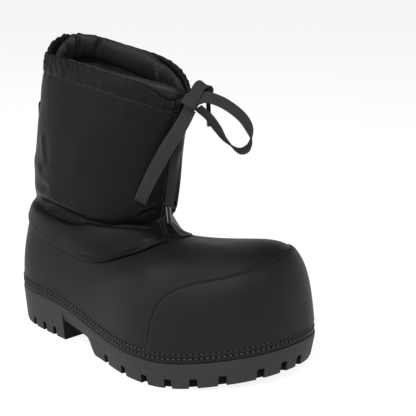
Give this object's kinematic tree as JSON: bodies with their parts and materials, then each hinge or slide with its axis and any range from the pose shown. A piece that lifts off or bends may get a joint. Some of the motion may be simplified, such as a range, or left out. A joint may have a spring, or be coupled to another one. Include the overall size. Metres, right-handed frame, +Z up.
{
  "type": "low boot",
  "caption": "Chunky low snow boot for the right foot: lugged rubber sole, padded galosh with toe cap, gathered nylon shaft tied with a flat lace at the collar.",
  "frame": {"origin": "on the floor, under the middle of the boot's box without the lace", "axes": "+X towards the toe, +Y towards the inner side of the foot, +Z up"},
  "size_m": [0.3413, 0.1797, 0.2949],
  "materials": {
    "rubber": "moulded rubber, matt",
    "insole": "fabric-topped foam, matt",
    "upper": "smooth coated leather, satin",
    "toe_cap": "smooth coated leather, satin",
    "nylon": "fine nylon weave, soft sheen",
    "lining": "smooth padded lining cloth, soft sheen",
    "webbing": "woven tape, matt",
    "lace": "ribbed flat webbing, matt",
    "aglet": "polished metal"
  },
  "bodies": {
    "root": {"outsole": "rubber", "insole": "insole", "upper": "upper", "toe_cap": "toe_cap", "shaft": "nylon", "collar_roll": "lining", "pull_tab": "webbing", "lace_knot": "lace", "lace_loop_outer": "lace", "lace_loop_inner": "lace", "lace_end_front": "lace", "lace_end_rear": "lace", "aglet_front": "aglet", "aglet_rear": "aglet"}
  },
  "joints": []
}
